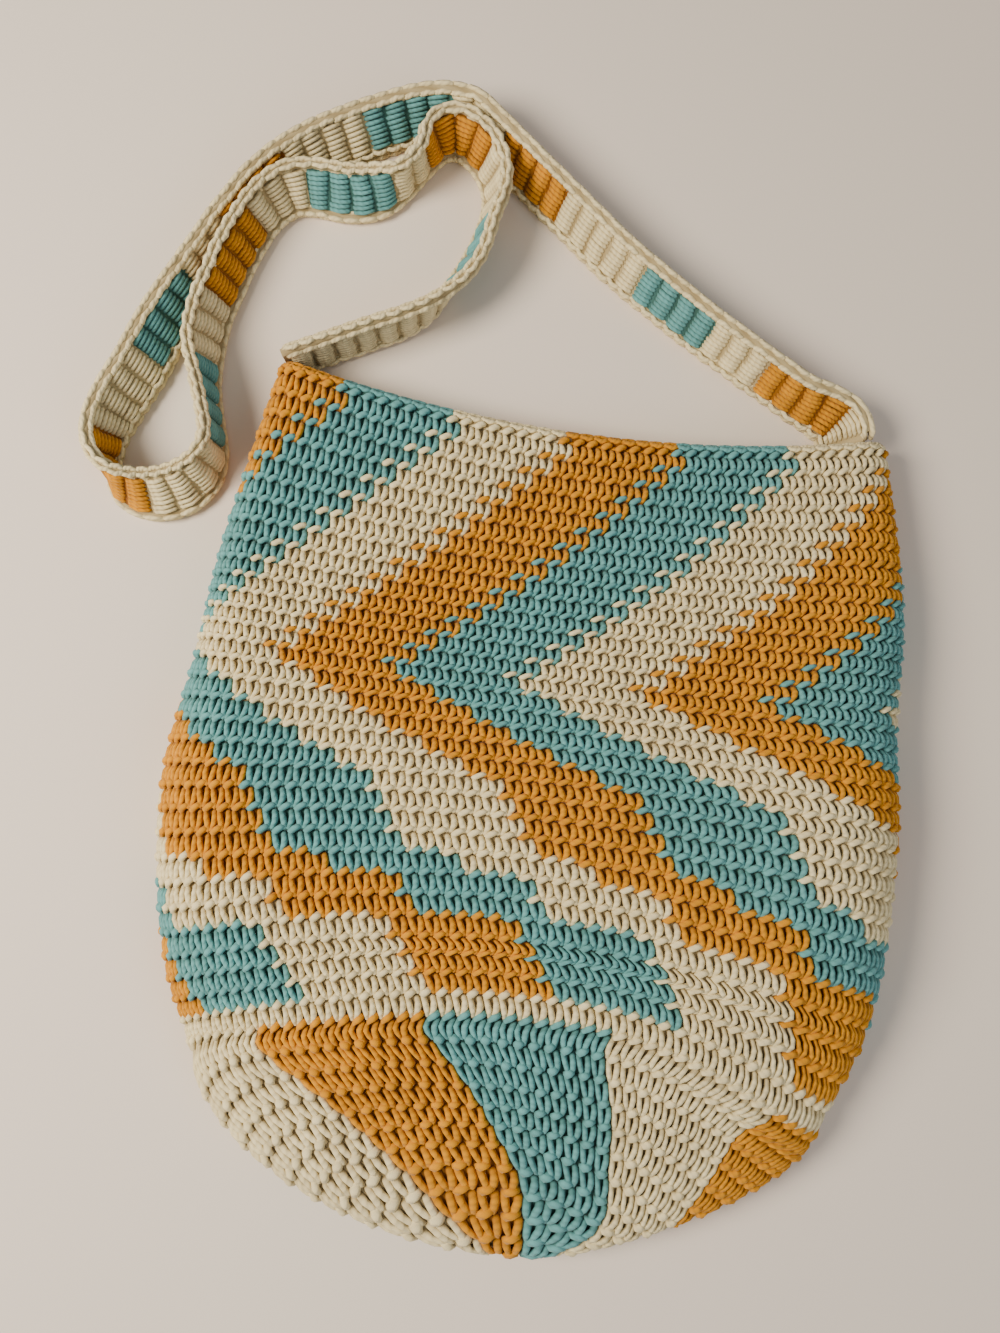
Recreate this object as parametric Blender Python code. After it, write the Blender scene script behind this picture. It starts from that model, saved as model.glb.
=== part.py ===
"""A crochet shoulder bag lying on its back, with its strap standing on edge in two nested loops.

X runs across the bag, Y up towards its mouth and Z up. The origin is on the flat back panel.
Lengths in the tables are shares of the named sizes beside them.
"""

import math
from collections import namedtuple

import bpy
import numpy as np
from mathutils import Vector

# Driving sizes, in metres
BAG_WIDTH = 0.320
BAG_LENGTH = 0.380
BAG_HEIGHT = 0.045
FABRIC = 0.005
FOLD_HEIGHT = 0.012
LEFT_SHOULDER = 0.040
RIGHT_SHOULDER = 0.062
BASE_SHOULDER = 0.100
BACK_SHOULDER = 0.014
EDGING_DIAMETER = 0.006
STRAP_WIDTH = 0.027
STRAP_THICKNESS = 0.0045
STRAP_REACH = 0.130
CLEARANCE = 0.0003
SEAM_GAP = 0.001
BAND_GAP = 0.0006

# Counts and powers
WALL_ROWS = 32
BASE_ROUNDS = 12
AROUND = 60
STRAP_STEPS = 124
OUTLINE_STEPS = 32
ROUND_POWER = 2.0
SLACK_POWER = 1.5
LEFT_POWER = 1.8
RIGHT_POWER = 1.5
ARCH_POWER = 0.60
ARCH_LEAN = 0.40
SLACK_START = 26.0
SLACK_ROWS = 8.0
END_PULL = 0.10
END_CROWDING = 0.7
ROW_STEP = 0.5
LAST_ROW = float(WALL_ROWS + BASE_ROUNDS)

# The side wall from the mouth down: x and bows as shares of the width and length, height as a share of
# the bag's height. A bow lifts the middle of a row towards the mouth.
Section = namedtuple("Section", "row left_x left_y right_x right_y front_bow back_bow height")
SIDE_SECTIONS = [
    Section(0.0, -0.353, 0.524, 0.490, 0.424, -0.043, -0.030, 0.53),
    Section(8.0, -0.422, 0.325, 0.503, 0.246, -0.018, -0.012, 0.72),
    Section(15.0, -0.455, 0.192, 0.487, 0.105, -0.007, -0.006, 0.88),
    Section(21.0, -0.494, 0.046, 0.481, -0.028, 0.024, 0.026, 0.97),
    Section(28.0, -0.484, -0.142, 0.436, -0.216, 0.068, 0.070, 1.00),
    Section(32.0, -0.449, -0.236, 0.365, -0.330, 0.086, 0.090, 0.98),
]
BOTTOM_Y = -0.460

# The base from its rim to its pole: how far each round lies over the bottom edge, to the front (+) or
# to the back (-), as shares of the bag's length.
BaseRound = namedtuple("BaseRound", "round left_x right_x ends_over front_over back_over")
BASE_SECTIONS = [
    BaseRound(0.0, -0.449, 0.365, 0.0, 0.268, -0.276),
    BaseRound(3.0, -0.372, 0.284, 0.0, 0.198, -0.215),
    BaseRound(6.0, -0.278, 0.178, 0.0, 0.136, -0.152),
    BaseRound(8.0, -0.203, 0.112, 0.0, 0.085, -0.115),
    BaseRound(10.0, -0.105, 0.047, 0.0, 0.026, -0.070),
    BaseRound(11.0, -0.059, 0.009, -0.008, 0.000, -0.046),
    BaseRound(12.0, -0.025, -0.025, -0.022, -0.022, -0.022),
]
BASE_STEPS = (0.0, 1.5, 3.0, 4.5, 6.0, 7.5, 8.8, 9.8, 10.6, 11.3)

# The strap's middle line from the left corner of the mouth to the right one: x as a share of the bag's
# width, out beyond the left corner as a share of the strap's reach, and the direction of the raised
# edge in degrees: 90 stands upright, less leans to the right of the way along, more to the left.
Route = namedtuple("Route", "x out lean")
STRAP_ROUTE = [
    Route(-0.341, 0.040, 90),
    Route(-0.341, 0.060, 90),
    Route(-0.328, 0.088, 90),
    Route(-0.303, 0.104, 90),
    Route(-0.275, 0.118, 90),
    Route(-0.228, 0.145, 90),
    Route(-0.181, 0.185, 88),
    Route(-0.141, 0.240, 80),
    Route(-0.109, 0.325, 66),
    Route(-0.084, 0.410, 63),
    Route(-0.062, 0.540, 70),
    Route(-0.047, 0.675, 66),
    Route(-0.059, 0.792, 61),
    Route(-0.084, 0.868, 60),
    Route(-0.109, 0.892, 60),
    Route(-0.134, 0.862, 70),
    Route(-0.153, 0.785, 88),
    Route(-0.181, 0.708, 86),
    Route(-0.219, 0.670, 62),
    Route(-0.262, 0.666, 53),
    Route(-0.306, 0.685, 56),
    Route(-0.344, 0.676, 62),
    Route(-0.378, 0.608, 67),
    Route(-0.406, 0.500, 65),
    Route(-0.431, 0.370, 64),
    Route(-0.450, 0.246, 64),
    Route(-0.459, 0.130, 65),
    Route(-0.456, -0.008, 80),
    Route(-0.447, -0.131, 86),
    Route(-0.441, -0.238, 84),
    Route(-0.453, -0.323, 68),
    Route(-0.481, -0.385, 52),
    Route(-0.519, -0.412, 46),
    Route(-0.556, -0.400, 56),
    Route(-0.581, -0.354, 76),
    Route(-0.592, -0.277, 100),
    Route(-0.591, -0.185, 116),
    Route(-0.575, -0.085, 125),
    Route(-0.547, 0.038, 127),
    Route(-0.516, 0.192, 125),
    Route(-0.456, 0.423, 123),
    Route(-0.400, 0.631, 122),
    Route(-0.341, 0.769, 124),
    Route(-0.275, 0.862, 125),
    Route(-0.209, 0.919, 124),
    Route(-0.153, 0.958, 122),
    Route(-0.103, 0.962, 120),
    Route(-0.053, 0.912, 120),
    Route(-0.009, 0.804, 120),
    Route(0.050, 0.623, 120),
    Route(0.112, 0.446, 120),
    Route(0.181, 0.292, 118),
    Route(0.247, 0.154, 117),
    Route(0.312, 0.031, 116),
    Route(0.375, -0.085, 118),
    Route(0.408, -0.125, 130),
    Route(0.429, -0.160, 137),
    Route(0.437, -0.195, 139),
    Route(0.437, -0.220, 139),
    Route(0.437, -0.245, 139),
]

CREAM = (0.72, 0.62, 0.42, 1.0)
MUSTARD = (0.62, 0.24, 0.03, 1.0)
TEAL = (0.13, 0.35, 0.38, 1.0)
YARN_ROUGHNESS = 0.85


def clear_scene():
    for item in list(bpy.data.objects):
        bpy.data.objects.remove(item, do_unlink=True)


def yarn_material(name, colour):
    material = bpy.data.materials.new(name)
    material.use_nodes = True
    shader = material.node_tree.nodes["Principled BSDF"]
    shader.inputs["Base Color"].default_value = colour
    shader.inputs["Roughness"].default_value = YARN_ROUGHNESS
    shader.inputs["Metallic"].default_value = 0.0
    return material


def rise(rows, index, column):
    """How fast a column changes at one of the table's rows."""
    before, after = rows[max(index - 1, 0)], rows[min(index + 1, len(rows) - 1)]
    return (after[column] - before[column]) / (after[0] - before[0])


def between(rows, at):
    """The table's values where its first column is at, on a smooth curve through its rows."""
    index = 0
    while index < len(rows) - 2 and rows[index + 1][0] <= at:
        index += 1
    low, high = rows[index], rows[index + 1]
    span = high[0] - low[0]
    t = min(max((at - low[0]) / span, 0.0), 1.0)
    values = [at]
    for column in range(1, len(low)):
        start, end = rise(rows, index, column) * span, rise(rows, index + 1, column) * span
        value = low[column] * (1 + 2 * t) * (1 - t) ** 2 + high[column] * t * t * (3 - 2 * t)
        values.append(value + start * t * (1 - t) ** 2 - end * t * t * (1 - t))
    return type(low)(*values)


def bottom_edge(x):
    """Y of the bottom outline at x."""
    rim = SIDE_SECTIONS[-1]
    if x < 0:
        share, corner, power = x / (rim.left_x * BAG_WIDTH), rim.left_y, LEFT_POWER
    else:
        share, corner, power = x / (rim.right_x * BAG_WIDTH), rim.right_y, RIGHT_POWER
    lift = 1 - (1 - min(share, 1.0) ** power) ** (1 / power)
    return (BOTTOM_Y + (corner - BOTTOM_Y) * lift) * BAG_LENGTH


def outline():
    """The bag's outline from above: down its left side, round the bottom and up its right side."""
    rows = [between(SIDE_SECTIONS, WALL_ROWS * k / OUTLINE_STEPS) for k in range(OUTLINE_STEPS + 1)]
    left = [(s.left_x * BAG_WIDTH, s.left_y * BAG_LENGTH) for s in rows]
    right = [(s.right_x * BAG_WIDTH, s.right_y * BAG_LENGTH) for s in reversed(rows)]
    middle, half = (left[-1][0] + right[0][0]) / 2, (right[0][0] - left[-1][0]) / 2
    bottom = []
    for k in range(1, 2 * OUTLINE_STEPS):
        x = middle - half * math.cos(math.pi * k / (2 * OUTLINE_STEPS))
        bottom.append((x, bottom_edge(x)))
    return np.array(left + bottom + right)


def inside(points, line):
    """Each point's distance from the outline."""
    start, step = line[:-1], np.diff(line, axis=0)
    away = points[:, None, :] - start
    share = np.clip((away * step).sum(2) / (step * step).sum(1), 0, 1)
    return np.linalg.norm(away - share[..., None] * step, axis=2).min(1)


def base_point(rounds, across, front):
    """X, Y and side of a point of a base round: side is 1 on the front and -1 on the back."""
    section = between(BASE_SECTIONS, rounds)
    x = (section.left_x + across * (section.right_x - section.left_x)) * BAG_WIDTH
    arch = (4 * across * (1 - across)) ** (ARCH_POWER + ARCH_LEAN * across)
    peak = section.front_over if front else section.back_over
    over = (section.ends_over + (peak - section.ends_over) * arch) * BAG_LENGTH
    return x, bottom_edge(x) + abs(over), 1 if over >= 0 else -1


def side_point(row, across, front):
    """X, Y and side of a point of a wall row. The last rows turn into the base's own rim."""
    section, last = between(SIDE_SECTIONS, row), SIDE_SECTIONS[-2]
    x = (section.left_x + across * (section.right_x - section.left_x)) * BAG_WIDTH
    bow = (section.front_bow if front else section.back_bow) * 4 * across * (1 - across)
    if row > last.row:
        rim = SIDE_SECTIONS[-1]
        chord = rim.left_y + across * (rim.right_y - rim.left_y)
        turned = (row - last.row) / (rim.row - last.row)
        rim_bow = base_point(0.0, across, front)[1] / BAG_LENGTH - chord
        bow = bow * (1 - turned) + rim_bow * turned
    y = (section.left_y + across * (section.right_y - section.left_y) + bow) * BAG_LENGTH
    return x, y, 1 if front else -1


def ring(row, line):
    """Points round one row, from the left fold over the front and back along the back."""
    flat = []
    for k in range(AROUND):
        across = (1 - math.cos(2 * math.pi * k / AROUND)) / 2
        front = k < AROUND // 2
        if row <= WALL_ROWS:
            flat.append(side_point(row, across, front))
        else:
            flat.append(base_point(row - WALL_ROWS, across, front))
    flat = np.array(flat)
    depth = inside(flat[:, :2], line)
    height = between(SIDE_SECTIONS, min(row, WALL_ROWS)).height * BAG_HEIGHT
    slack = min(max((row - SLACK_START) / SLACK_ROWS, 0.0), 1.0)
    shoulder = LEFT_SHOULDER + (RIGHT_SHOULDER - LEFT_SHOULDER) * (flat[:, 0] / BAG_WIDTH + 0.5)
    shoulder = shoulder * (height / BAG_HEIGHT) ** 2
    shoulder = shoulder + (BASE_SHOULDER - shoulder) * slack
    power = ROUND_POWER + (SLACK_POWER - ROUND_POWER) * slack
    swell = (1 - (1 - np.minimum(depth / shoulder, 1)) ** power) ** (1 / power)
    tuck = np.sqrt(1 - (1 - np.minimum(depth / BACK_SHOULDER, 1)) ** 2)
    front_z = FOLD_HEIGHT + (height - FOLD_HEIGHT) * swell
    back_z = FOLD_HEIGHT * (1 - tuck)
    return np.column_stack([flat[:, :2], np.where(flat[:, 2] > 0, front_z, back_z)])


def mesh_object(name, points, faces, material):
    mesh = bpy.data.meshes.new(name)
    mesh.from_pydata([tuple(p) for p in points], [], faces)
    mesh.materials.append(material)
    mesh.update()
    mesh.shade_smooth()
    item = bpy.data.objects.new(name, mesh)
    bpy.context.scene.collection.objects.link(item)
    return item


def outward(row, line):
    """The surface's outward direction round one row."""
    upper, lower = ring(max(row - ROW_STEP, 0.0), line), ring(min(row + ROW_STEP, LAST_ROW), line)
    here = ring(row, line)
    along = np.roll(here, -1, axis=0) - np.roll(here, 1, axis=0)
    normal = np.cross(lower - upper, along)
    return normal / np.linalg.norm(normal, axis=1)[:, None]


def ring_faces(first, second):
    """Quads between two rings of AROUND points, given each ring's first point."""
    faces = []
    for k in range(AROUND):
        n = (k + 1) % AROUND
        faces.append((first + k, second + k, second + n, first + n))
    return faces


def fabric_wall(name, rows, line, pole, material):
    """A closed wall of the fabric's thickness through rings at the rows, with a pole or an open end."""
    outer = [ring(row, line) for row in rows]
    inner = [place - outward(row, line) * FABRIC for place, row in zip(outer, rows)]
    count, start = len(rows), len(rows) * AROUND
    points = outer + inner
    faces = []
    for i in range(count - 1):
        faces += ring_faces(i * AROUND, (i + 1) * AROUND)
        faces += ring_faces(start + (i + 1) * AROUND, start + i * AROUND)
    faces += ring_faces(start, 0)
    if pole:
        tip = ring(LAST_ROW, line)[0]
        around_tip = inner[-1] - outer[-1]
        inner_tip = tip + around_tip.mean(axis=0) / np.linalg.norm(around_tip.mean(axis=0)) * FABRIC
        points += [tip, inner_tip]
        last, total = (count - 1) * AROUND, 2 * count * AROUND
        for k in range(AROUND):
            n = (k + 1) % AROUND
            faces.append((last + k, total, last + n))
            faces.append((start + last + n, total + 1, start + last + k))
    else:
        faces += ring_faces((count - 1) * AROUND, start + (count - 1) * AROUND)
    return mesh_object(name, np.vstack(points), faces, material)


def make_side(line, material):
    upper, lower = ring(WALL_ROWS - 1.0, line), ring(float(WALL_ROWS), line)
    row_height = np.linalg.norm(upper[AROUND // 4] - lower[AROUND // 4])
    rows = np.linspace(0.0, WALL_ROWS - SEAM_GAP / row_height, 1 + WALL_ROWS // 2)
    fabric_wall("bag_side", rows, line, False, material)


def make_base(line, material):
    rows = [WALL_ROWS + step for step in BASE_STEPS]
    fabric_wall("bag_base", rows, line, True, material)


def cord_object(name, path, closed, material):
    """A round cord through a path."""
    curve = bpy.data.curves.new(name, "CURVE")
    curve.dimensions = "3D"
    curve.bevel_depth = EDGING_DIAMETER / 2
    curve.bevel_resolution = 2
    curve.use_fill_caps = not closed
    spline = curve.splines.new("POLY")
    spline.points.add(len(path) - 1)
    for point, place in zip(spline.points, path):
        point.co = (*place, 1.0)
    spline.use_cyclic_u = closed
    curve.materials.append(material)
    item = bpy.data.objects.new(name, curve)
    bpy.context.scene.collection.objects.link(item)
    return item


def mouth_path(line):
    """The edging's middle line, above the top edge of the wall and flush with its outer face."""
    top, below = ring(0.0, line), ring(0.5, line)
    away = top - below
    away /= np.linalg.norm(away, axis=1)[:, None]
    along = np.roll(top, -1, axis=0) - np.roll(top, 1, axis=0)
    inward = np.cross(along, away)
    inward /= np.linalg.norm(inward, axis=1)[:, None]
    if inward[AROUND // 4][2] > 0:
        inward = -inward
    return top + inward * EDGING_DIAMETER / 2 + away * (EDGING_DIAMETER / 2 + CLEARANCE)


def strap_path(rim):
    """The strap's middle points, and the direction of its raised edge at each."""
    stations = []
    length = 0.0
    for index, stop in enumerate(STRAP_ROUTE):
        place = (stop.x * BAG_WIDTH, SIDE_SECTIONS[0].left_y * BAG_LENGTH + stop.out * STRAP_REACH)
        if index:
            length += math.dist(place, stations[-1][1:3])
        stations.append((length, *place, stop.lean))
    seat = EDGING_DIAMETER / 2 + CLEARANCE
    starts = np.array([rim[0][0], rim[0][1] + seat])
    right_of = rim[AROUND // 2 - AROUND // 8 : AROUND // 2 + AROUND // 8 + 1, :2]
    ends = np.array([stations[-1][1], right_of[:, 1].max() + seat])
    Station = namedtuple("Station", "length x y lean")
    table = [Station(*values) for values in stations]
    places = []
    for k in range(STRAP_STEPS + 1):
        step = k / STRAP_STEPS
        share = step - END_CROWDING * math.sin(2 * math.pi * step) / (2 * math.pi)
        at = between(table, length * share)
        start_pull = max(1 - share / END_PULL, 0.0) ** 2
        end_pull = max(1 - (1 - share) / END_PULL, 0.0) ** 2
        place = np.array([at.x, at.y])
        place = place + (starts - np.array(stations[0][1:3])) * start_pull
        place = place + (ends - np.array(stations[-1][1:3])) * end_pull
        places.append((*place, math.radians(at.lean)))
    places = np.array(places)
    way = np.gradient(places[:, :2], axis=0)
    way /= np.linalg.norm(way, axis=1)[:, None]
    lean = places[:, 2]
    raised = np.column_stack([way[:, 1] * np.cos(lean), -way[:, 0] * np.cos(lean), np.sin(lean)])
    half = (STRAP_WIDTH - EDGING_DIAMETER) / 2
    height = EDGING_DIAMETER / 2 + half * np.sin(lean)
    middle = np.column_stack([places[:, :2], height])
    return middle, raised


def make_strap(rim, material):
    middle, raised = strap_path(rim)
    cord_out = (STRAP_WIDTH - EDGING_DIAMETER) / 2
    band_out = cord_out - EDGING_DIAMETER / 2 - BAND_GAP
    points, faces = [], []
    for place, edge in zip(middle, raised):
        points += [place + edge * band_out, place - edge * band_out]
    for k in range(len(middle) - 1):
        faces.append((2 * k, 2 * k + 1, 2 * k + 3, 2 * k + 2))
    band = mesh_object("strap_band", points, faces, material)
    solid = band.modifiers.new("Fabric", "SOLIDIFY")
    solid.thickness = STRAP_THICKNESS
    solid.offset = 0.0
    cord_object("strap_edging_upper", middle + raised * cord_out, False, material)
    cord_object("strap_edging_lower", middle - raised * cord_out, False, material)


def main():
    clear_scene()
    cream = yarn_material("cream_cotton", CREAM)
    mustard = yarn_material("mustard_cotton", MUSTARD)
    teal = yarn_material("teal_cotton", TEAL)
    line = outline()
    make_side(line, teal)
    make_base(line, mustard)
    rim = mouth_path(line)
    cord_object("mouth_edging", rim, True, mustard)
    make_strap(rim, cream)


main()
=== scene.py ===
"""A crochet shoulder bag lying on its back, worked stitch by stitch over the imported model.

The forms repeat the part's own sections. Stitches are set out on a flat chart, a stitch to the
right and a row down being one unit each, and geometry nodes wrap the chart round the forms.
"""

import math
from collections import namedtuple

import bpy
import numpy as np
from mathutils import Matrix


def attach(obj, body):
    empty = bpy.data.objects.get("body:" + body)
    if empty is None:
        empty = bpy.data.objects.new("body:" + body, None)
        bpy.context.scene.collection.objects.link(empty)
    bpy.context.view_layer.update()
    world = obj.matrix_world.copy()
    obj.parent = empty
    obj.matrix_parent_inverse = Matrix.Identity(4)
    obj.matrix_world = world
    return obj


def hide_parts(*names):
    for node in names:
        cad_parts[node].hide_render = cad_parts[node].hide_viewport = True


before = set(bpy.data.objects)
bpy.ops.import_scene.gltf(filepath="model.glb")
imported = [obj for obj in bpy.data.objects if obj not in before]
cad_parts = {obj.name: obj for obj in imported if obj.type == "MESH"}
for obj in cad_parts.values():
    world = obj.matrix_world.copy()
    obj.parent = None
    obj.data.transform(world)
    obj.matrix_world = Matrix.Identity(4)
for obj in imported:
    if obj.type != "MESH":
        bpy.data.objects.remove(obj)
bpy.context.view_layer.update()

bl_info = {
    "name": "Crochet shoulder bag",
    "version": (1, 0, 0),
    "blender": (4, 5, 0),
    "location": "3D View > Sidebar > Crochet bag",
    "description": "Works the stitches, edgings and strap of a crochet shoulder bag",
    "category": "Add Mesh",
}

# The bag's form, as in the part: metres, and tables of shares of the named sizes
BAG_WIDTH = 0.320
BAG_LENGTH = 0.380
BAG_HEIGHT = 0.045
FABRIC = 0.005
FOLD_HEIGHT = 0.012
LEFT_SHOULDER = 0.040
RIGHT_SHOULDER = 0.062
BASE_SHOULDER = 0.100
BACK_SHOULDER = 0.014
EDGING_DIAMETER = 0.006
STRAP_WIDTH = 0.027
STRAP_THICKNESS = 0.0045
STRAP_REACH = 0.130
CLEARANCE = 0.0003
WALL_ROWS = 32
BASE_ROUNDS = 12
ALL_ROWS = WALL_ROWS + BASE_ROUNDS
OUTLINE_STEPS = 32
RING_STEPS = 360
ROUND_POWER = 2.0
SLACK_POWER = 1.5
LEFT_POWER = 1.8
RIGHT_POWER = 1.5
ARCH_POWER = 0.60
ARCH_LEAN = 0.40
SLACK_START = 26.0
SLACK_ROWS = 8.0
END_PULL = 0.10
BOTTOM_Y = -0.460

Section = namedtuple("Section", "row left_x left_y right_x right_y front_bow back_bow height")
SIDE_SECTIONS = [
    Section(0.0, -0.353, 0.524, 0.490, 0.424, -0.043, -0.030, 0.53),
    Section(8.0, -0.422, 0.325, 0.503, 0.246, -0.018, -0.012, 0.72),
    Section(15.0, -0.455, 0.192, 0.487, 0.105, -0.007, -0.006, 0.88),
    Section(21.0, -0.494, 0.046, 0.481, -0.028, 0.024, 0.026, 0.97),
    Section(28.0, -0.484, -0.142, 0.436, -0.216, 0.068, 0.070, 1.00),
    Section(32.0, -0.449, -0.236, 0.365, -0.330, 0.086, 0.090, 0.98),
]
BaseRound = namedtuple("BaseRound", "round left_x right_x ends_over front_over back_over")
BASE_SECTIONS = [
    BaseRound(0.0, -0.449, 0.365, 0.0, 0.268, -0.276),
    BaseRound(3.0, -0.372, 0.284, 0.0, 0.198, -0.215),
    BaseRound(6.0, -0.278, 0.178, 0.0, 0.136, -0.152),
    BaseRound(8.0, -0.203, 0.112, 0.0, 0.085, -0.115),
    BaseRound(10.0, -0.105, 0.047, 0.0, 0.026, -0.070),
    BaseRound(11.0, -0.059, 0.009, -0.008, 0.000, -0.046),
    BaseRound(12.0, -0.025, -0.025, -0.022, -0.022, -0.022),
]
Route = namedtuple("Route", "x out lean")
STRAP_ROUTE = [
    Route(-0.341, 0.040, 90),
    Route(-0.341, 0.060, 90),
    Route(-0.328, 0.088, 90),
    Route(-0.303, 0.104, 90),
    Route(-0.275, 0.118, 90),
    Route(-0.228, 0.145, 90),
    Route(-0.181, 0.185, 88),
    Route(-0.141, 0.240, 80),
    Route(-0.109, 0.325, 66),
    Route(-0.084, 0.410, 63),
    Route(-0.062, 0.540, 70),
    Route(-0.047, 0.675, 66),
    Route(-0.059, 0.792, 61),
    Route(-0.084, 0.868, 60),
    Route(-0.109, 0.892, 60),
    Route(-0.134, 0.862, 70),
    Route(-0.153, 0.785, 88),
    Route(-0.181, 0.708, 86),
    Route(-0.219, 0.670, 62),
    Route(-0.262, 0.666, 53),
    Route(-0.306, 0.685, 56),
    Route(-0.344, 0.676, 62),
    Route(-0.378, 0.608, 67),
    Route(-0.406, 0.500, 65),
    Route(-0.431, 0.370, 64),
    Route(-0.450, 0.246, 64),
    Route(-0.459, 0.130, 65),
    Route(-0.456, -0.008, 80),
    Route(-0.447, -0.131, 86),
    Route(-0.441, -0.238, 84),
    Route(-0.453, -0.323, 68),
    Route(-0.481, -0.385, 52),
    Route(-0.519, -0.412, 46),
    Route(-0.556, -0.400, 56),
    Route(-0.581, -0.354, 76),
    Route(-0.592, -0.277, 100),
    Route(-0.591, -0.185, 116),
    Route(-0.575, -0.085, 125),
    Route(-0.547, 0.038, 127),
    Route(-0.516, 0.192, 125),
    Route(-0.456, 0.423, 123),
    Route(-0.400, 0.631, 122),
    Route(-0.341, 0.769, 124),
    Route(-0.275, 0.862, 125),
    Route(-0.209, 0.919, 124),
    Route(-0.153, 0.958, 122),
    Route(-0.103, 0.962, 120),
    Route(-0.053, 0.912, 120),
    Route(-0.009, 0.804, 120),
    Route(0.050, 0.623, 120),
    Route(0.112, 0.446, 120),
    Route(0.181, 0.292, 118),
    Route(0.247, 0.154, 117),
    Route(0.312, 0.031, 116),
    Route(0.375, -0.085, 118),
    Route(0.408, -0.125, 130),
    Route(0.429, -0.160, 137),
    Route(0.437, -0.195, 139),
    Route(0.437, -0.220, 139),
    Route(0.437, -0.245, 139),
]

# How the work is set out round the form: the stitch at the left fold, the stitches on the front and
# how much they crowd to its left, for some rows
Setting = namedtuple("Setting", "row left_stitch front_stitches crowding")
SETTINGS = [
    Setting(0.0, 0.9, 46.8, -0.010),
    Setting(8.0, -1.0, 49.5, 0.010),
    Setting(15.0, -2.7, 51.8, 0.026),
    Setting(21.0, -3.2, 51.2, 0.034),
    Setting(28.0, -2.9, 51.6, 0.016),
    Setting(32.0, -2.9, 49.0, 0.025),
    Setting(33.5, -3.9, 52.0, -0.015),
    Setting(35.5, -5.8, 52.5, -0.030),
    Setting(37.5, -6.5, 49.2, -0.030),
    Setting(39.5, -5.8, 42.0, -0.030),
    Setting(41.0, -5.4, 38.0, 0.0),
    Setting(44.0, -5.4, 38.0, 0.0),
]

# The colour pattern: blocks that step sideways by whole stitches on some rows, over stitches that
# lean a little each row
ROUND_STITCHES = 96
BLOCK = 8
BLOCK_COLOURS = ("teal", "cream", "mustard")
FIRST_BLOCK = 7.5
STEPS_ASIDE = {row: -2 for row in range(2, 16)}
STEPS_ASIDE.update({row: 2 for row in range(16, 22)})
STEPS_ASIDE.update({25: 3, 26: 4, 28: 6})
LEANS = {row: 0.8 if row < 16 else 0.65 if row < 25 else 0.55 for row in range(2, 33)}
WEDGE_COLOURS = ("mustard", "teal", "cream", "mustard", "teal", "mustard", "teal", "cream")
FIRST_WEDGE = 5.0
WEDGES = 8

# The strap: rows along it, stitches across its band, chain links to a row, and the middle rows of its
# patches
STRAP_ROWS = 94
STRAP_STITCHES = 4
LINKS_PER_ROW = 1.5
PATCH_ROWS = 4
STRAP_PATCHES = [
    (10.0, "teal"), (17.0, "mustard"), (23.0, "teal"), (30.0, "mustard"), (37.0, "teal"), (45.0, "mustard"),
    (53.0, "teal"), (60.0, "mustard"), (68.0, "teal"), (75.0, "mustard"), (84.0, "teal"), (91.0, "mustard"),
]

# The flat chart's scale on the forms' charts
CHART_WIDE = 100.0
CHART_TALL = 50.0

COLOURS = ("cream", "mustard", "teal")
# How far a stitch reaches down from the form's face, in millimetres: its relief is counted from there
STITCH_DEPTH = 3.0


def rise(rows, index, column):
    """How fast a column changes at one of the table's rows."""
    before, after = rows[max(index - 1, 0)], rows[min(index + 1, len(rows) - 1)]
    return (after[column] - before[column]) / (after[0] - before[0])


def between(rows, at):
    """The table's values where its first column is at, on a smooth curve through its rows."""
    index = 0
    while index < len(rows) - 2 and rows[index + 1][0] <= at:
        index += 1
    low, high = rows[index], rows[index + 1]
    span = high[0] - low[0]
    t = min(max((at - low[0]) / span, 0.0), 1.0)
    values = [at]
    for column in range(1, len(low)):
        start, end = rise(rows, index, column) * span, rise(rows, index + 1, column) * span
        value = low[column] * (1 + 2 * t) * (1 - t) ** 2 + high[column] * t * t * (3 - 2 * t)
        values.append(value + start * t * (1 - t) ** 2 - end * t * t * (1 - t))
    return type(low)(*values)


def bottom_edge(x):
    """Y of the bottom outline at x."""
    rim = SIDE_SECTIONS[-1]
    left = x < 0
    share = np.where(left, x / (rim.left_x * BAG_WIDTH), x / (rim.right_x * BAG_WIDTH))
    corner = np.where(left, rim.left_y, rim.right_y)
    power = np.where(left, LEFT_POWER, RIGHT_POWER)
    lift = 1 - (1 - np.clip(share, 0, 1) ** power) ** (1 / power)
    return (BOTTOM_Y + (corner - BOTTOM_Y) * lift) * BAG_LENGTH


def outline():
    """The bag's outline from above: down its left side, round the bottom and up its right side."""
    rows = [between(SIDE_SECTIONS, WALL_ROWS * k / OUTLINE_STEPS) for k in range(OUTLINE_STEPS + 1)]
    left = [(s.left_x * BAG_WIDTH, s.left_y * BAG_LENGTH) for s in rows]
    right = [(s.right_x * BAG_WIDTH, s.right_y * BAG_LENGTH) for s in reversed(rows)]
    middle, half = (left[-1][0] + right[0][0]) / 2, (right[0][0] - left[-1][0]) / 2
    turn = np.pi * np.arange(1, 2 * OUTLINE_STEPS) / (2 * OUTLINE_STEPS)
    x = middle - half * np.cos(turn)
    return np.vstack([left, np.column_stack([x, bottom_edge(x)]), right])


def inside(points, line):
    """Each point's distance from the outline."""
    start, step = line[:-1], np.diff(line, axis=0)
    away = points[:, None, :] - start
    share = np.clip((away * step).sum(2) / (step * step).sum(1), 0, 1)
    return np.linalg.norm(away - share[..., None] * step, axis=2).min(1)


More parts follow.
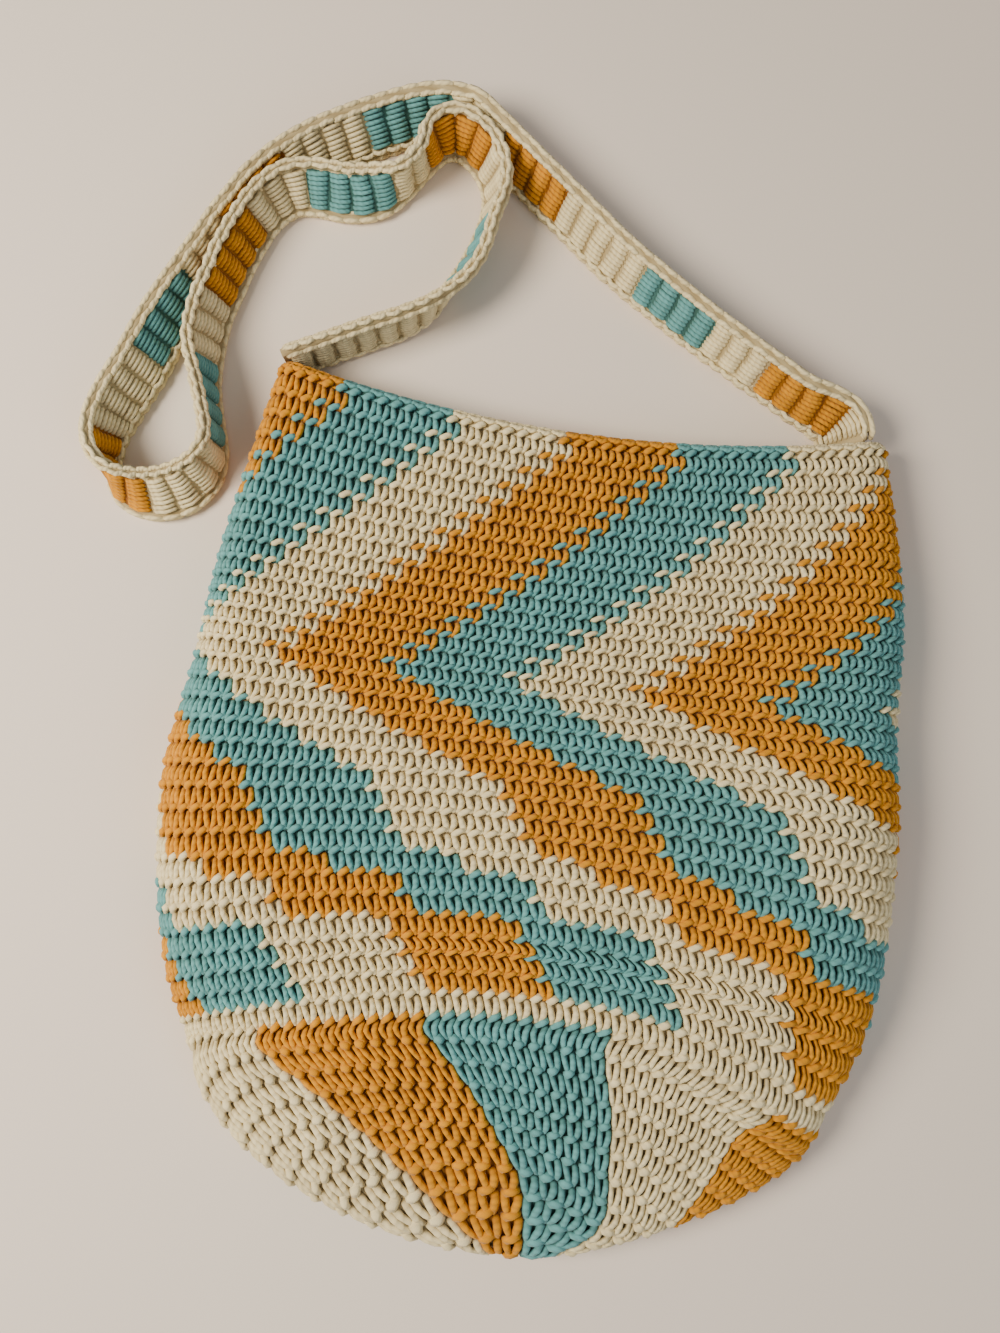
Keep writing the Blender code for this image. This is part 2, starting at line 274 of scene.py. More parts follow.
def base_points(rounds, across, front):
    """X, Y and side of points of a base round: side is 1 on the front and -1 on the back."""
    section = between(BASE_SECTIONS, rounds)
    x = (section.left_x + across * (section.right_x - section.left_x)) * BAG_WIDTH
    arch = (4 * across * (1 - across)) ** (ARCH_POWER + ARCH_LEAN * across)
    peak = np.where(front, section.front_over, section.back_over)
    over = (section.ends_over + (peak - section.ends_over) * arch) * BAG_LENGTH
    return x, bottom_edge(x) + np.abs(over), np.where(over >= 0, 1, -1)


def side_points(row, across, front):
    """X, Y and side of points of a wall row. The last rows turn into the base's own rim."""
    section, last = between(SIDE_SECTIONS, row), SIDE_SECTIONS[-2]
    x = (section.left_x + across * (section.right_x - section.left_x)) * BAG_WIDTH
    bow = np.where(front, section.front_bow, section.back_bow) * 4 * across * (1 - across)
    if row > last.row:
        rim = SIDE_SECTIONS[-1]
        chord = rim.left_y + across * (rim.right_y - rim.left_y)
        turned = (row - last.row) / (rim.row - last.row)
        rim_bow = base_points(0.0, across, front)[1] / BAG_LENGTH - chord
        bow = bow * (1 - turned) + rim_bow * turned
    y = (section.left_y + across * (section.right_y - section.left_y) + bow) * BAG_LENGTH
    return x, y, np.where(front, 1, -1)


def ring(row, line):
    """Fine points round one row, from the left fold over the front and back along the back."""
    k = np.arange(RING_STEPS)
    across = np.clip((1 - np.cos(2 * np.pi * k / RING_STEPS)) / 2, 0, 1)
    front = k < RING_STEPS // 2
    if row <= WALL_ROWS:
        x, y, side = side_points(row, across, front)
    else:
        x, y, side = base_points(row - WALL_ROWS, across, front)
    depth = inside(np.column_stack([x, y]), line)
    height = between(SIDE_SECTIONS, min(row, WALL_ROWS)).height * BAG_HEIGHT
    slack = min(max((row - SLACK_START) / SLACK_ROWS, 0.0), 1.0)
    shoulder = LEFT_SHOULDER + (RIGHT_SHOULDER - LEFT_SHOULDER) * (x / BAG_WIDTH + 0.5)
    shoulder = shoulder * (height / BAG_HEIGHT) ** 2
    shoulder = shoulder + (BASE_SHOULDER - shoulder) * slack
    power = ROUND_POWER + (SLACK_POWER - ROUND_POWER) * slack
    swell = (1 - (1 - np.minimum(depth / shoulder, 1)) ** power) ** (1 / power)
    tuck = np.sqrt(1 - (1 - np.minimum(depth / BACK_SHOULDER, 1)) ** 2)
    front_z = FOLD_HEIGHT + (height - FOLD_HEIGHT) * swell
    back_z = FOLD_HEIGHT * (1 - tuck)
    return np.column_stack([x, y, np.where(side > 0, front_z, back_z)])


def along(path, shares):
    """Points of an open path at shares of its length."""
    run = np.concatenate([[0.0], np.cumsum(np.linalg.norm(np.diff(path, axis=0), axis=1))])
    return np.column_stack([np.interp(shares * run[-1], run, path[:, axis]) for axis in range(3)])


def worked_ring(row, stitches, line):
    """Points of a row where the given stitches stand."""
    fine = ring(row, line)
    half = RING_STEPS // 2
    front, back = fine[:half + 1], np.vstack([fine[half:], fine[:1]])
    setting = between(SETTINGS, row)
    count = np.mod(stitches - setting.left_stitch, ROUND_STITCHES)
    share = np.clip(count / setting.front_stitches, 0, 1)
    share = share - setting.crowding * 4 * share * (1 - share)
    behind = (count - setting.front_stitches) / (ROUND_STITCHES - setting.front_stitches)
    on_front = count < setting.front_stitches
    points = along(front, share)
    points[~on_front] = along(back, np.clip(behind, 0, 1))[~on_front]
    return points


def outward_of(points):
    """The outward direction at each point of a grid of rows, top down, left to right."""
    down, right = np.gradient(points, axis=0), np.gradient(points, axis=1)
    normal = np.cross(down, right)
    return normal / np.maximum(np.linalg.norm(normal, axis=2, keepdims=True), 1e-12)


def bag_grid(stitches, rows):
    """The bag's outer face and its outward directions at a grid of stitches and rows."""
    line = outline()
    wide = np.concatenate([stitches[:1] - 0.5, stitches, stitches[-1:] + 0.5])
    points = np.array([worked_ring(row, wide, line) for row in rows])
    normal = outward_of(points)
    normal[-1] = normal[-2].mean(axis=0)
    return points[:, 1:-1], normal[:, 1:-1]


def grid_faces(tall, wide):
    """Quads of a grid of points, facing out of a grid that runs down and to the right."""
    faces = []
    for i in range(tall - 1):
        for j in range(wide - 1):
            a = i * wide + j
            faces.append((a, a + wide, a + wide + 1, a + 1))
    return faces


def chart_form(name, points, normal, stitches, rows):
    """A form's surface with its chart and outward directions, for the nodes to wrap stitches on."""
    tall, wide = points.shape[:2]
    mesh = bpy.data.meshes.new(name)
    mesh.from_pydata(points.reshape(-1, 3).tolist(), [], grid_faces(tall, wide))
    chart = mesh.uv_layers.new(name="chart")
    places = np.stack(np.meshgrid(stitches / CHART_WIDE, rows / CHART_TALL), axis=2).reshape(-1, 2)
    corners = np.array([loop.vertex_index for loop in mesh.loops])
    chart.data.foreach_set("uv", places[corners].astype(np.float32).ravel())
    out = mesh.attributes.new("out", "FLOAT_VECTOR", "POINT")
    out.data.foreach_set("vector", normal.reshape(-1, 3).astype(np.float32).ravel())
    form = bpy.data.objects.new(name, mesh)
    bpy.context.scene.collection.objects.link(form)
    return form


def strand_mesh(name, strands):
    """Yarn strands as closed tubes. Each is a list of points with a radius, and a side count."""
    points, faces, plies = [], [], []
    for path, sides in strands:
        path = np.array(path, dtype=float)
        middle, radius = path[:, :3], path[:, 3]
        way = np.gradient(middle, axis=0)
        way /= np.linalg.norm(way, axis=1)[:, None]
        aside = np.cross(way, (0.0, 0.0, 1.0))
        aside /= np.linalg.norm(aside, axis=1)[:, None]
        above = np.cross(aside, way)
        run = np.concatenate([[0.0], np.cumsum(np.linalg.norm(np.diff(middle, axis=0), axis=1))])
        first = len(points)
        for i, place in enumerate(middle):
            for k in range(sides):
                turn = 2 * math.pi * k / sides
                points.append(place + radius[i] * (aside[i] * math.cos(turn) + above[i] * math.sin(turn)))
        for i in range(len(middle) - 1):
            for k in range(sides):
                n = (k + 1) % sides
                a, b = first + i * sides, first + (i + 1) * sides
                faces.append((a + k, a + n, b + n, b + k))
                u, v = k / sides, (k + 1) / sides
                plies.append([(u, run[i]), (v, run[i]), (v, run[i + 1]), (u, run[i + 1])])
        for i, order in ((0, -1), (len(middle) - 1, 1)):
            cap = [first + i * sides + k for k in range(sides)][::order]
            faces.append(cap)
            plies.append([(0.5, run[i])] * sides)
    mesh = bpy.data.meshes.new(name)
    mesh.from_pydata([tuple(p) for p in points], [], faces)
    layer = mesh.uv_layers.new(name="ply")
    flat = [value for face in plies for corner in face for value in corner]
    layer.data.foreach_set("uv", flat)
    mesh.shade_smooth()
    return mesh


def cell_mesh(name, strands, wide, tall):
    """A stitch drawn in millimetres, x to the right, y up from its top groove, z out."""
    mesh = strand_mesh(name, strands)
    for vertex in mesh.vertices:
        vertex.co = (vertex.co.x / wide, vertex.co.y / tall, vertex.co.z / 1000)
    item = bpy.data.objects.new(name, mesh)
    bpy.context.scene.collection.objects.link(item)
    return item


def leg(points, radius, sides=6):
    """A leg of yarn that thins towards its two ends, where it goes into the work."""
    last = len(points) - 1
    path = []
    for i, place in enumerate(points):
        ends = 0.72 if i in (0, last) else 1.0
        path.append((*place, radius * ends))
    return path, sides


def single_crochet(name, lean):
    """The two legs of a stitch, drawn on a cell 6.7 mm wide and 10 mm tall. Their feet lean to the left."""
    left = leg([(1.2, 0.2, -3.2), (1.4, -1.2, -2.0), (1.9, -3.5, -0.9), (2.5, -5.9, -0.8),
                (3.1, -8.2, -1.5), (3.5, -9.6, -3.1)], 1.42)
    right = leg([(5.4, 0.2, -3.2), (5.6, -1.2, -2.0), (5.8, -3.5, -0.95), (5.5, -5.9, -0.85),
                 (4.8, -8.2, -1.5), (4.3, -9.7, -3.1)], 1.42)
    legs = [([(x + lean * y, y, z, r) for x, y, z, r in path], sides) for path, sides in (left, right)]
    return cell_mesh(name, legs, 6.7, 10.0)


def top_bump():
    """The slanting loop at the top of a stitch, drawn on the same cell."""
    loop = leg([(0.8, -0.3, -2.7), (1.6, 0.3, -0.9), (3.0, 1.3, -0.3), (4.4, 2.3, -0.9), (5.2, 2.9, -2.7)],
               1.6)
    return cell_mesh("top_bump", [loop], 6.7, 10.0)


def chain_link():
    """One link of a chain edging, drawn on a cell 6.2 mm long round a cord 18.8 mm about."""
    front = leg([(-0.6, 0.3, -2.1), (1.0, 1.3, -1.1), (3.2, 2.4, -0.9), (5.6, 1.8, -1.1), (7.6, 0.4, -2.1)],
                1.5)
    back = leg([(-0.6, -0.3, -2.1), (1.0, -1.3, -1.1), (3.2, -2.4, -0.9), (5.6, -1.8, -1.1),
                (7.6, -0.4, -2.1)], 1.5)
    return cell_mesh("chain_link", [front, back], 6.2, 18.8)


def band_rib():
    """The two legs of a strap stitch, along the strap, on a cell 5.2 mm wide and 9.8 mm long."""
    one = leg([(0.9, -0.3, -3.0), (1.2, -1.8, -1.3), (1.5, -4.9, -0.6), (1.5, -8.0, -1.3), (1.3, -9.6, -3.0)],
              1.3)
    two = leg([(3.5, -0.2, -3.0), (3.8, -1.7, -1.3), (4.1, -4.8, -0.6), (4.1, -7.9, -1.3), (3.8, -9.5, -3.0)],
              1.3)
    return cell_mesh("band_rib", [one, two], 5.2, 9.8)


class Nodes:
    """A node tree with one way to add a node: its type, settings, and its sockets' values or links."""

    def __init__(self, tree):
        self.tree = tree

    def add(self, kind, settings=None, **sockets):
        node = self.tree.nodes.new(kind)
        for name, value in (settings or {}).items():
            setattr(node, name, value)
        for name, value in sockets.items():
            self.feed(self.socket(node, name), value)
        return node

    def socket(self, node, name):
        if name.startswith("n_"):
            return node.inputs[int(name[2:])]
        return next(s for s in node.inputs if s.enabled and s.name.replace(" ", "_") == name)

    def feed(self, socket, value):
        value = getattr(value, "socket", value)
        if isinstance(value, bpy.types.NodeSocket):
            self.tree.links.new(value, socket)
        else:
            socket.default_value = value


class Field:
    """A shader value that adds its Math node when it is used in an expression."""

    def __init__(self, nodes, socket):
        self.nodes = nodes
        self.socket = socket

    def maths(self, operation, *values):
        sockets = {f"n_{i}": value for i, value in enumerate(values)}
        node = self.nodes.add("ShaderNodeMath", {"operation": operation}, **sockets)
        return Field(self.nodes, node.outputs[0])

    def __add__(self, other):
        return self.maths("ADD", self, other)

    def __radd__(self, other):
        return self.maths("ADD", other, self)

    def __sub__(self, other):
        return self.maths("SUBTRACT", self, other)

    def __rsub__(self, other):
        return self.maths("SUBTRACT", other, self)

    def __mul__(self, other):
        return self.maths("MULTIPLY", self, other)

    def __rmul__(self, other):
        return self.maths("MULTIPLY", other, self)

    def __pow__(self, other):
        return self.maths("POWER", self, other)

    def sine(self):
        return self.maths("SINE", self)


def wrap_tree():
    """Nodes that set a stitch on each chart point, wrap them round a form and press them on the floor."""
    tree = bpy.data.node_groups.new("Work stitches on a form", "GeometryNodeTree")
    new = tree.interface.new_socket
    new("Geometry", in_out="OUTPUT", socket_type="NodeSocketGeometry")
    new("Chart", in_out="INPUT", socket_type="NodeSocketGeometry")
    new("Stitch", in_out="INPUT", socket_type="NodeSocketObject")
    new("Form", in_out="INPUT", socket_type="NodeSocketObject")
    new("Unevenness", in_out="INPUT", socket_type="NodeSocketFloat")
    new("Seed", in_out="INPUT", socket_type="NodeSocketInt")
    new("Yarn", in_out="INPUT", socket_type="NodeSocketMaterial")
    n = Nodes(tree)
    given = n.add("NodeGroupInput").outputs
    stitch = n.add("GeometryNodeObjectInfo", Object=given["Stitch"]).outputs["Geometry"]
    form = n.add("GeometryNodeObjectInfo", Object=given["Form"]).outputs["Geometry"]
    cell = n.add("GeometryNodeInputNamedAttribute", {"data_type": "FLOAT_VECTOR"}, Name="cell")
    placed = n.add("GeometryNodeInstanceOnPoints", Points=given["Chart"], Instance=stitch,
                   Scale=cell.outputs["Attribute"])
    slack = n.add("ShaderNodeVectorMath", {"operation": "SCALE"}, n_0=(1.0, 0.7, 0.0006),
                  Scale=given["Unevenness"]).outputs[0]
    tight = n.add("ShaderNodeVectorMath", {"operation": "SCALE"}, n_0=(-1.0, -0.7, -0.0006),
                  Scale=given["Unevenness"]).outputs[0]
    off = n.add("FunctionNodeRandomValue", {"data_type": "FLOAT_VECTOR"}, Min=tight, Max=slack,
                Seed=given["Seed"]).outputs[0]
    moved = n.add("GeometryNodeTranslateInstances", Instances=placed.outputs[0], Translation=off,
                  Local_Space=False)
    shade = n.add("FunctionNodeRandomValue", {"data_type": "FLOAT"}, Seed=given["Seed"])
    shaded = n.add("GeometryNodeStoreNamedAttribute", {"data_type": "FLOAT", "domain": "INSTANCE"},
                   Geometry=moved.outputs[0], Name="shade", Value=shade.outputs[1])
    real = n.add("GeometryNodeRealizeInstances", Geometry=shaded.outputs[0])
    place = n.add("GeometryNodeInputPosition").outputs[0]
    parts = n.add("ShaderNodeSeparateXYZ", Vector=place).outputs
    # The stitch's height above its lowest reach, in millimetres. It is kept as an attribute so that the yarn can
    # paint shade in the grooves.
    relief = n.add("ShaderNodeMath", {"operation": "MULTIPLY_ADD"}, n_0=parts[2], n_1=1000.0,
                   n_2=STITCH_DEPTH).outputs[0]
    marked = n.add("GeometryNodeStoreNamedAttribute", {"data_type": "FLOAT", "domain": "POINT"},
                   Geometry=real.outputs[0], Name="relief", Value=relief)
    across = n.add("ShaderNodeMath", {"operation": "DIVIDE"}, n_0=parts[0], n_1=CHART_WIDE).outputs[0]
    down = n.add("ShaderNodeMath", {"operation": "DIVIDE"}, n_0=parts[1], n_1=-CHART_TALL).outputs[0]
    spot = n.add("ShaderNodeCombineXYZ", X=across, Y=down).outputs[0]
    chart = n.add("GeometryNodeInputNamedAttribute", {"data_type": "FLOAT_VECTOR"}, Name="chart")
    out = n.add("GeometryNodeInputNamedAttribute", {"data_type": "FLOAT_VECTOR"}, Name="out")
    found = n.add("GeometryNodeSampleUVSurface", {"data_type": "FLOAT_VECTOR"}, Mesh=form, Value=place,
                  UV_Map=chart.outputs["Attribute"], Sample_UV=spot).outputs[0]
    facing = n.add("GeometryNodeSampleUVSurface", {"data_type": "FLOAT_VECTOR"}, Mesh=form,
                   Value=out.outputs["Attribute"], UV_Map=chart.outputs["Attribute"],
                   Sample_UV=spot).outputs[0]
    lift = n.add("ShaderNodeVectorMath", {"operation": "SCALE"}, n_0=facing, Scale=parts[2]).outputs[0]
    final = n.add("ShaderNodeVectorMath", {"operation": "ADD"}, n_0=found, n_1=lift).outputs[0]
    spots = n.add("ShaderNodeSeparateXYZ", Vector=final).outputs
    pressed = n.add("ShaderNodeMath", {"operation": "MAXIMUM"}, n_0=spots[2], n_1=0.0).outputs[0]
    resting = n.add("ShaderNodeCombineXYZ", X=spots[0], Y=spots[1], Z=pressed).outputs[0]
    wrapped = n.add("GeometryNodeSetPosition", Geometry=marked.outputs[0], Position=resting)
    coloured = n.add("GeometryNodeSetMaterial", Geometry=wrapped.outputs[0], Material=given["Yarn"])
    n.add("NodeGroupOutput", Geometry=coloured.outputs[0])
    return tree


def work(name, cells, stitch, form, colour, seed, unevenness=0.035):
    """Works stitches at the chart cells, rows of x, y, width and height, into one plain mesh."""
    mesh = bpy.data.meshes.new(name)
    mesh.from_pydata([(x, y, 0.0) for x, y, wide, tall in cells], [], [])
    size = mesh.attributes.new("cell", "FLOAT_VECTOR", "POINT")
    size.data.foreach_set("vector", [value for cell in cells for value in (cell[2], cell[3], 1.0)])
    item = bpy.data.objects.new(name, mesh)
    bpy.context.scene.collection.objects.link(item)
    tree = bpy.data.node_groups.get("Work stitches on a form") or wrap_tree()
    modifier = item.modifiers.new("Stitches", "NODES")
    modifier.node_group = tree
    sockets = {s.name: s.identifier for s in tree.interface.items_tree if s.in_out == "INPUT"}
    modifier[sockets["Stitch"]] = stitch
    modifier[sockets["Form"]] = form
    modifier[sockets["Unevenness"]] = unevenness
    modifier[sockets["Seed"]] = seed
    modifier[sockets["Yarn"]] = yarn(colour)
    settled = item.evaluated_get(bpy.context.evaluated_depsgraph_get())
    worked = bpy.data.meshes.new_from_object(settled)
    item.modifiers.remove(modifier)
    item.data = worked
    worked.name = name
    bpy.data.meshes.remove(mesh)
    return item


def joined(name, items):
    """Joins like pieces of one yarn into one."""
    with bpy.context.temp_override(active_object=items[0], selected_editable_objects=items):
        bpy.ops.object.join()
    items[0].name = name
    return items[0]


def finish_piece(item):
    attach(item, "root")


def clear_helpers(items):
    for item in items:
        mesh = item.data
        bpy.data.objects.remove(item)
        bpy.data.meshes.remove(mesh)


def yarn(colour):
    """The matt twisted cotton of one colour, with its plies, fibres and uneven dye, and painted shade: darker in
    the grooves between stitches and between plies.
    """
    name = f"{colour} cotton yarn"
    if name in bpy.data.materials:
        return bpy.data.materials[name]
    colours = bpy.context.scene.crochet_bag_yarns
    # The pale colour is the lit end, and the second colour is the dark end: painted shade, and also dark dye.
    pale, dark_dye_and_painted_shade = getattr(colours, colour), getattr(colours, f"{colour}_deep")
    material = bpy.data.materials.new(name)
    material.use_nodes = True
    tree = material.node_tree
    tree.nodes.clear()
    n = Nodes(tree)
    ply = n.add("ShaderNodeUVMap", {"uv_map": "ply"}).outputs[0]
    parts = n.add("ShaderNodeSeparateXYZ", Vector=ply).outputs
    around, run = Field(n, parts[0]), Field(n, parts[1])
    # The ply twist drives the bump. Through the tone it also darkens the colour between the plies, which is
    # painted shade in the ply grooves.
    twist = ((around * 2.0 + run * 0.42) * math.pi * 2).sine()
    plies = (twist * 0.5 + 0.5) ** 0.6
    where = n.add("ShaderNodeTexCoord").outputs["Object"]
    fibres = Field(n, n.add("ShaderNodeTexNoise", Vector=where, Scale=2600.0, Detail=2.0).outputs[0])
    dye = Field(n, n.add("ShaderNodeTexNoise", Vector=where, Scale=38.0, Detail=2.0,
                         Roughness=0.6).outputs[0])
    shade = Field(n, n.add("ShaderNodeAttribute", {"attribute_name": "shade"}).outputs["Fac"])
    # Painted shade: where a stitch's relief is low, in the grooves between stitches and legs, the yarn takes the
    # dark colour, and the crests take the pale, lit one. Pieces with no relief attribute, the cores, come out
    # dark all through.
    relief = n.add("ShaderNodeAttribute", {"attribute_name": "relief"}).outputs["Fac"]
    lit = Field(n, n.add("ShaderNodeMapRange", {"interpolation_type": "SMOOTHSTEP"}, Value=relief,
                         From_Min=1.0, From_Max=3.6).outputs[0])
    tone = lit * 0.66 + plies * 0.2 + dye * 0.35 + shade * 0.2 + fibres * 0.12 - 0.27
    # The mix runs from the dark colour (painted shade and dark dye) to the pale, lit colour.
    ramp = n.add("ShaderNodeMix", {"data_type": "RGBA", "clamp_factor": True}, n_0=tone, n_6=dark_dye_and_painted_shade, n_7=pale)
    height = plies * 0.7 + fibres * 0.3
    bump = n.add("ShaderNodeBump", Strength=0.55, Distance=0.0005, Height=height)
    shader = n.add("ShaderNodeBsdfPrincipled", Base_Color=ramp.outputs[2], Roughness=0.88,
                   Normal=bump.outputs[0])
    shader.inputs["Sheen Weight"].default_value = 0.10
    shader.inputs["Sheen Roughness"].default_value = 0.6
    shader.inputs["Specular IOR Level"].default_value = 0.15
    n.add("ShaderNodeOutputMaterial", Surface=shader.outputs[0])
    return material


def block_start(row):
    """Where the teal block starts on a row, and the shift of its stitches from the first row's."""
    lean = sum(LEANS.get(r, 0.0) for r in range(2, row + 1))
    aside = sum(STEPS_ASIDE.get(r, 0) for r in range(2, row + 1))
    return FIRST_BLOCK + lean + aside, FIRST_BLOCK % 1 + lean


def wall_colour(row, stitch):
    """The yarn of a wall stitch whose middle is at the given place round the row."""
    if row >= WALL_ROWS:
        return "cream"
    start, _ = block_start(row)
    repeat = BLOCK * len(BLOCK_COLOURS)
    return BLOCK_COLOURS[int(((stitch - start) % repeat) // BLOCK)]


def base_colour(stitch):
    """The yarn of a base stitch by its wedge."""
    wedge = ROUND_STITCHES / WEDGES
    return WEDGE_COLOURS[int(((stitch - FIRST_WEDGE) % ROUND_STITCHES) // wedge)]


def wall_cells(rows):
    """Legs and top loops of the stitches of some wall rows: yarn, kind and chart cell."""
    cells = []
    for row in rows:
        _, shift = block_start(row)
        for k in range(ROUND_STITCHES):
            left = (k + shift) % ROUND_STITCHES
            cell = (left, 1.0 - row, 1.0, 1.0)
            cells.append((wall_colour(row, left + 0.5), "legs", cell))
            cells.append((wall_colour(row, left + 1.5), "loop", cell))
    return cells


def base_cells():
    """Legs and top loops of every base stitch, round by round to the middle."""
    cells = []
    for step in range(BASE_ROUNDS):
        count = WEDGES * (BASE_ROUNDS - step)
        wide = ROUND_STITCHES / count
        for k in range(count):
            left = (FIRST_WEDGE + k * wide) % ROUND_STITCHES
            cell = (left, -float(WALL_ROWS + step), wide, 1.0)
            cells.append((base_colour(left + wide / 2), "legs", cell))
            cells.append((base_colour(left + wide / 2), "loop", cell))
    return cells


def fabric_core(stitches, rows):
    """The closed body of the fabric under the stitches, in the yarns of its stitches. It has no relief
    attribute, so the yarn colours it at its dark end: painted shade between the stitches.
    """
    points, normal = bag_grid(stitches, rows)
    tall, wide = points.shape[:2]
    outer, inner = points - normal * 0.0024, points - normal * FABRIC
    verts = np.vstack([outer[:-1].reshape(-1, 3), inner[:-1].reshape(-1, 3), outer[-1:, 0], inner[-1:, 0]])
    faces, tones = [], []
    start, tip = (tall - 1) * wide, 2 * (tall - 1) * wide
    for i in range(tall - 2):
        for j in range(wide):
            n = (j + 1) % wide
            a, b = i * wide, (i + 1) * wide
            middle, row = stitches[j] + 0.25, int(rows[i] + 0.01) + 1
            tone = wall_colour(row, middle) if row <= WALL_ROWS else base_colour(middle)
            faces.append((a + j, b + j, b + n, a + n))
            faces.append((start + a + n, start + b + n, start + b + j, start + a + j))
            tones += [COLOURS.index(tone)] * 2
    last = (tall - 2) * wide
    for j in range(wide):
        n = (j + 1) % wide
        tone = COLOURS.index(base_colour(stitches[j] + 0.25))
        faces.append((last + j, tip, last + n))
        faces.append((start + last + n, tip + 1, start + last + j))
        faces.append((start + j, j, n, start + n))
        tones += [tone, tone, COLOURS.index(wall_colour(1, stitches[j] + 0.25))]
    mesh = bpy.data.meshes.new("fabric_core")
    mesh.from_pydata(verts.tolist(), [], faces)
    for colour in COLOURS:
        mesh.materials.append(yarn(colour))
    mesh.polygons.foreach_set("material_index", tones)
    layer = mesh.uv_layers.new(name="ply")
    corners = np.array([loop.vertex_index for loop in mesh.loops])
    layer.data.foreach_set("uv", np.column_stack([verts[corners, 0], verts[corners, 1]]).ravel() * 300)
    mesh.shade_smooth()
    item = bpy.data.objects.new("fabric_core", mesh)
    bpy.context.scene.collection.objects.link(item)
    return item


def mouth_path(line):
    """The mouth edging's middle line at each stitch and half stitch, and its outward directions."""
    stitches = np.arange(-1.0, ROUND_STITCHES + 1.5, 0.5)
    top, below = worked_ring(0.0, stitches, line), worked_ring(0.5, stitches, line)
    away = top - below
    away /= np.linalg.norm(away, axis=1)[:, None]
    inward = np.cross(away, np.gradient(top, axis=0))
    inward /= np.linalg.norm(inward, axis=1)[:, None]
    middle = top + inward * EDGING_DIAMETER / 2 + away * (EDGING_DIAMETER / 2 + CLEARANCE)
    return stitches, middle, away, inward


def cord_form(name, stitches, middle, up, aside, radius):
    """A cord's surface with its chart: links along, and shares of its girth about from up."""
    rows = np.linspace(-0.75, 0.75, 25)
    turn = 2 * np.pi * rows[:, None, None]
    normal = up[None] * np.cos(turn) + aside[None] * np.sin(turn)
    points = middle[None] + normal * radius
    return chart_form(name, points, normal, stitches, rows)


def tube(name, middle, up, aside, radius, closed, tones):
    """A plain round core of yarn along a path."""
    sides = 8
    turn = 2 * np.pi * np.arange(sides) / sides
    rings = [m + radius * (np.outer(np.cos(turn), u) + np.outer(np.sin(turn), a))
             for m, u, a in zip(middle, up, aside)]
    faces, marks = [], []
    count = len(rings)
    for i in range(count if closed else count - 1):
        a, b = i * sides, (i + 1) % count * sides
        for k in range(sides):
            n = (k + 1) % sides
            faces.append((a + k, b + k, b + n, a + n))
            marks.append(tones[i])
    if not closed:
        faces.append(tuple(range(sides)))
        faces.append(tuple((count - 1) * sides + k for k in reversed(range(sides))))
        marks += [tones[0], tones[-1]]
    mesh = bpy.data.meshes.new(name)
    mesh.from_pydata(np.vstack(rings).tolist(), [], faces)
    for colour in COLOURS:
        mesh.materials.append(yarn(colour))
    mesh.polygons.foreach_set("material_index", marks)
    layer = mesh.uv_layers.new(name="ply")
    corners = np.array([loop.vertex_index for loop in mesh.loops])
    layer.data.foreach_set("uv", np.column_stack([corners % sides / sides, corners // sides]).ravel())
    mesh.shade_smooth()
    item = bpy.data.objects.new(name, mesh)
    bpy.context.scene.collection.objects.link(item)
    return item


def strap_path(steps):
    """The strap's middle points, raised-edge directions and face directions, evenly spaced."""
    line = outline()
    _, rim, _, _ = mouth_path(line)
    seat = EDGING_DIAMETER / 2 + CLEARANCE
    table = []
    length = 0.0
    for index, stop in enumerate(STRAP_ROUTE):
        place = (stop.x * BAG_WIDTH, SIDE_SECTIONS[0].left_y * BAG_LENGTH + stop.out * STRAP_REACH)
        if index:
            length += math.dist(place, table[-1][1:3])
        table.append((length, *place, stop.lean))
    left_rim = rim[np.argmin(rim[:, 0])]
    right_rim = rim[rim[:, 0] > table[-1][1] - 0.012]
    starts = np.array([left_rim[0], left_rim[1] + seat])
    ends = np.array([table[-1][1], right_rim[:, 1].max() + seat])
    Station = namedtuple("Station", "length x y lean")
    stations = [Station(*values) for values in table]
    places = []
    for share in np.linspace(0.0, 1.0, 600):
        at = between(stations, length * share)
        start_pull, end_pull = max(1 - share / END_PULL, 0.0) ** 2, max(1 - (1 - share) / END_PULL, 0.0) ** 2
        place = np.array([at.x, at.y]) + (starts - np.array(table[0][1:3])) * start_pull
        place = place + (ends - np.array(table[-1][1:3])) * end_pull
        places.append((*place, at.lean))
    places = along(np.array(places), np.linspace(0.0, 1.0, 600))
    run = np.concatenate([[0.0], np.cumsum(np.linalg.norm(np.diff(places[:, :2], axis=0), axis=1))])
    even = np.linspace(0.0, run[-1], steps)
    places = np.column_stack([np.interp(even, run, places[:, axis]) for axis in range(3)])
    way = np.gradient(places[:, :2], axis=0)
    way /= np.linalg.norm(way, axis=1)[:, None]
    lean = np.radians(places[:, 2])
    raised = np.column_stack([way[:, 1] * np.cos(lean), -way[:, 0] * np.cos(lean), np.sin(lean)])
    half = (STRAP_WIDTH - EDGING_DIAMETER) / 2
    middle = np.column_stack([places[:, :2], EDGING_DIAMETER / 2 + half * np.sin(lean)])
    face = np.cross(raised, np.column_stack([way, np.zeros(steps)]))
    face /= np.linalg.norm(face, axis=1)[:, None]
    return middle, raised, face, run[-1]


def strap_colour(row):
    """The yarn of a strap row: patches of four rows on cream."""
    for middle, colour in STRAP_PATCHES:
        if abs(row + 0.5 - middle) <= PATCH_ROWS / 2:
            return colour
    return "cream"


